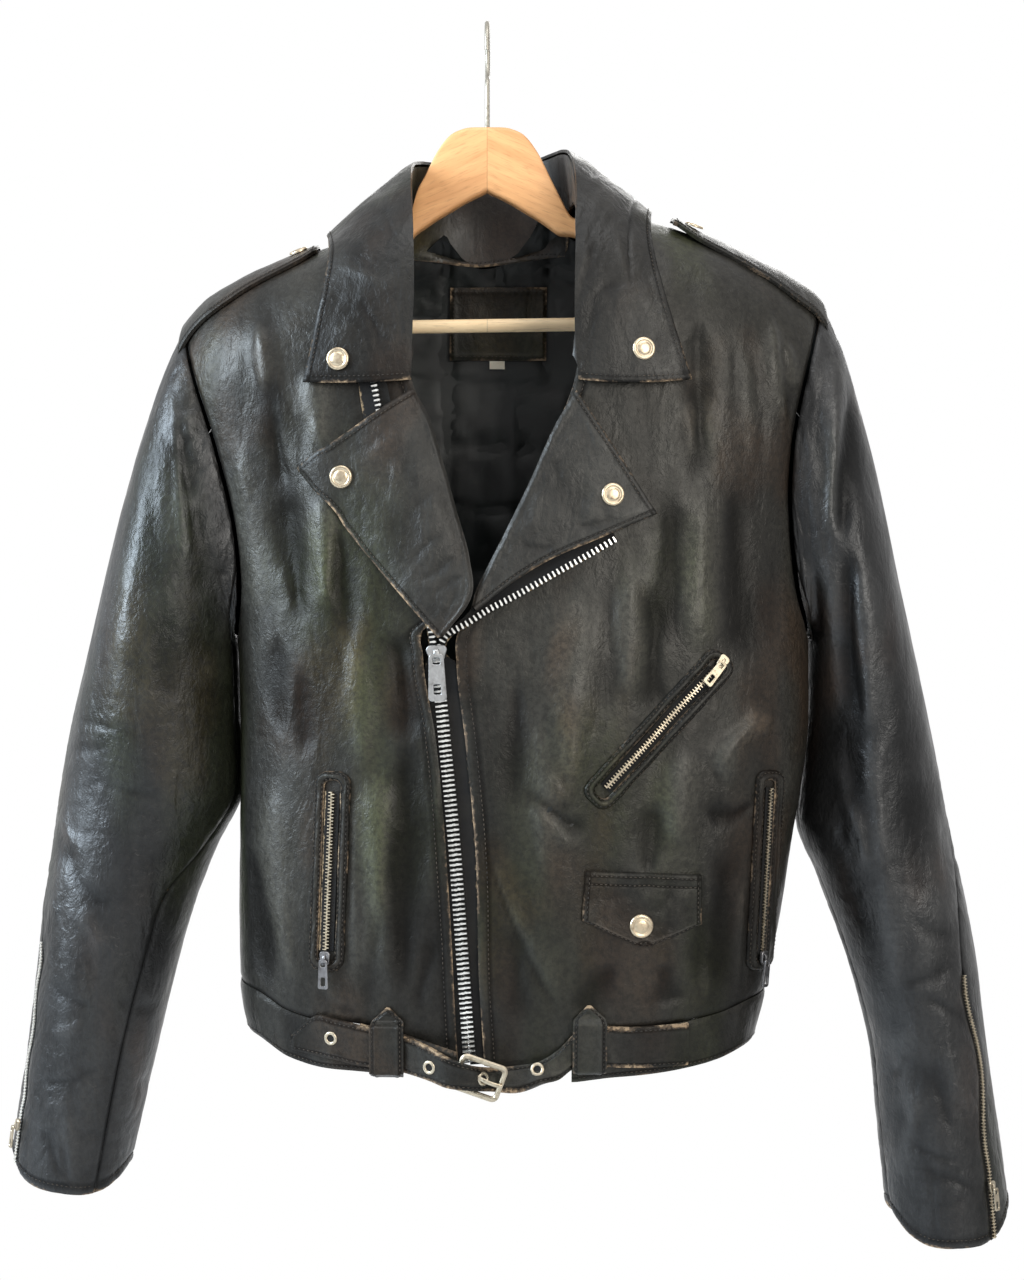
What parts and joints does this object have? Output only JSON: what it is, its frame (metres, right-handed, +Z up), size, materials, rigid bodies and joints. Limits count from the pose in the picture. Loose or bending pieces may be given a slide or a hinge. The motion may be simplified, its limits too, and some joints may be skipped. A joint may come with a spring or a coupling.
{
  "type": "leather motorcycle jacket on a wooden hanger",
  "caption": "Worn leather motorcycle jacket with wide lapels, slanted front zip, zipped pockets, coin flap and half belt, hanging open-necked and hollow on a wooden hanger with a wire hook.",
  "frame": {"origin": "inside top of the hanger's hook, where it bears on what it hangs from", "axes": "+X is the wearer's left, +Y is the back of the jacket, +Z is up"},
  "size_m": [0.7239, 0.2086, 0.8821],
  "materials": {
    "leather": "worn semi-gloss black-brown cowhide with tan scuffed edges",
    "lining": "black quilted satin",
    "tape": "matt black woven cotton tape carrying nickel teeth",
    "nickel": "worn nickel plate, satin",
    "tag": "plain ivory woven tab",
    "wood": "aged varnished hardwood, satin",
    "steel": "bright drawn wire"
  },
  "bodies": {
    "jacket_on_hanger": {"front_right": "leather", "front_left": "leather", "back": "leather", "sleeve_right_top": "leather", "sleeve_right_under": "leather", "sleeve_left_top": "leather", "sleeve_left_under": "leather", "collar_fall": "leather", "collar_stand": "leather", "lapel_right": "leather", "lapel_left": "leather", "epaulette_right": "leather", "epaulette_left": "leather", "waistband_right": "leather", "waistband_left": "leather", "waistband_back": "leather", "belt_strap": "leather", "belt_buckle_strap": "leather", "belt_loop_right": "leather", "belt_loop_left": "leather", "hand_right_welt": "leather", "hand_left_welt": "leather", "chest_welt": "leather", "coin_flap": "leather", "label_patch": "leather", "lining_back": "lining", "size_tab": "tag", "zip_right": "tape", "zip_left": "tape", "hand_right_zip": "tape", "hand_left_zip": "tape", "chest_zip": "tape", "cuff_right_zip": "tape", "cuff_left_zip": "tape", "buckle_frame": "nickel", "buckle_prong": "nickel", "zip_slider": "nickel", "hand_right_slider": "nickel", "hand_left_slider": "nickel", "chest_slider": "nickel", "cuff_right_slider": "nickel", "cuff_left_slider": "nickel", "snap_collar_right": "nickel", "snap_collar_left": "nickel", "snap_lapel_right": "nickel", "snap_lapel_left": "nickel", "snap_epaulette_right": "nickel", "snap_epaulette_left": "nickel", "snap_coin_flap": "nickel", "hanger_wood": "wood", "hanger_bar": "wood", "hanger_hook": "steel"},
    "front_zip_pull": {"zip_pull": "nickel"},
    "right_hand_pocket_pull": {"hand_right_pull": "nickel"},
    "left_hand_pocket_pull": {"hand_left_pull": "nickel"},
    "chest_pocket_pull": {"chest_pull": "nickel"},
    "right_cuff_pull": {"cuff_right_pull": "nickel"},
    "left_cuff_pull": {"cuff_left_pull": "nickel"}
  },
  "joints": [
    {"name": "front_zip_pull_hinge", "type": "hinge", "parent": "jacket_on_hanger", "child": "front_zip_pull", "pos_m": [-0.03344, -0.10652, -0.45836], "axis": [-0.9977, 0.0549, -0.0399], "range_deg": [0, 150]},
    {"name": "right_hand_pocket_pull_hinge", "type": "hinge", "parent": "jacket_on_hanger", "child": "right_hand_pocket_pull", "pos_m": [-0.11162, -0.09114, -0.66827], "axis": [-0.9624, 0.2716, 0], "range_deg": [0, 150]},
    {"name": "left_hand_pocket_pull_hinge", "type": "hinge", "parent": "jacket_on_hanger", "child": "left_hand_pocket_pull", "pos_m": [0.19739, -0.05751, -0.67287], "axis": [-0.6432, -0.7657, 0], "range_deg": [0, 150]},
    {"name": "chest_pocket_pull_hinge", "type": "hinge", "parent": "jacket_on_hanger", "child": "chest_pocket_pull", "pos_m": [0.16288, -0.0887, -0.46377], "axis": [-0.7148, -0.2156, 0.6653], "range_deg": [0, 150]},
    {"name": "right_cuff_pull_hinge", "type": "hinge", "parent": "jacket_on_hanger", "child": "right_cuff_pull", "pos_m": [-0.34034, -0.02526, -0.797], "axis": [-0.4903, 0.8716, 0], "range_deg": [0, 150]},
    {"name": "left_cuff_pull_hinge", "type": "hinge", "parent": "jacket_on_hanger", "child": "left_cuff_pull", "pos_m": [0.36198, -0.03929, -0.83832], "axis": [-0.771, -0.6369, 0], "range_deg": [0, 150]}
  ]
}
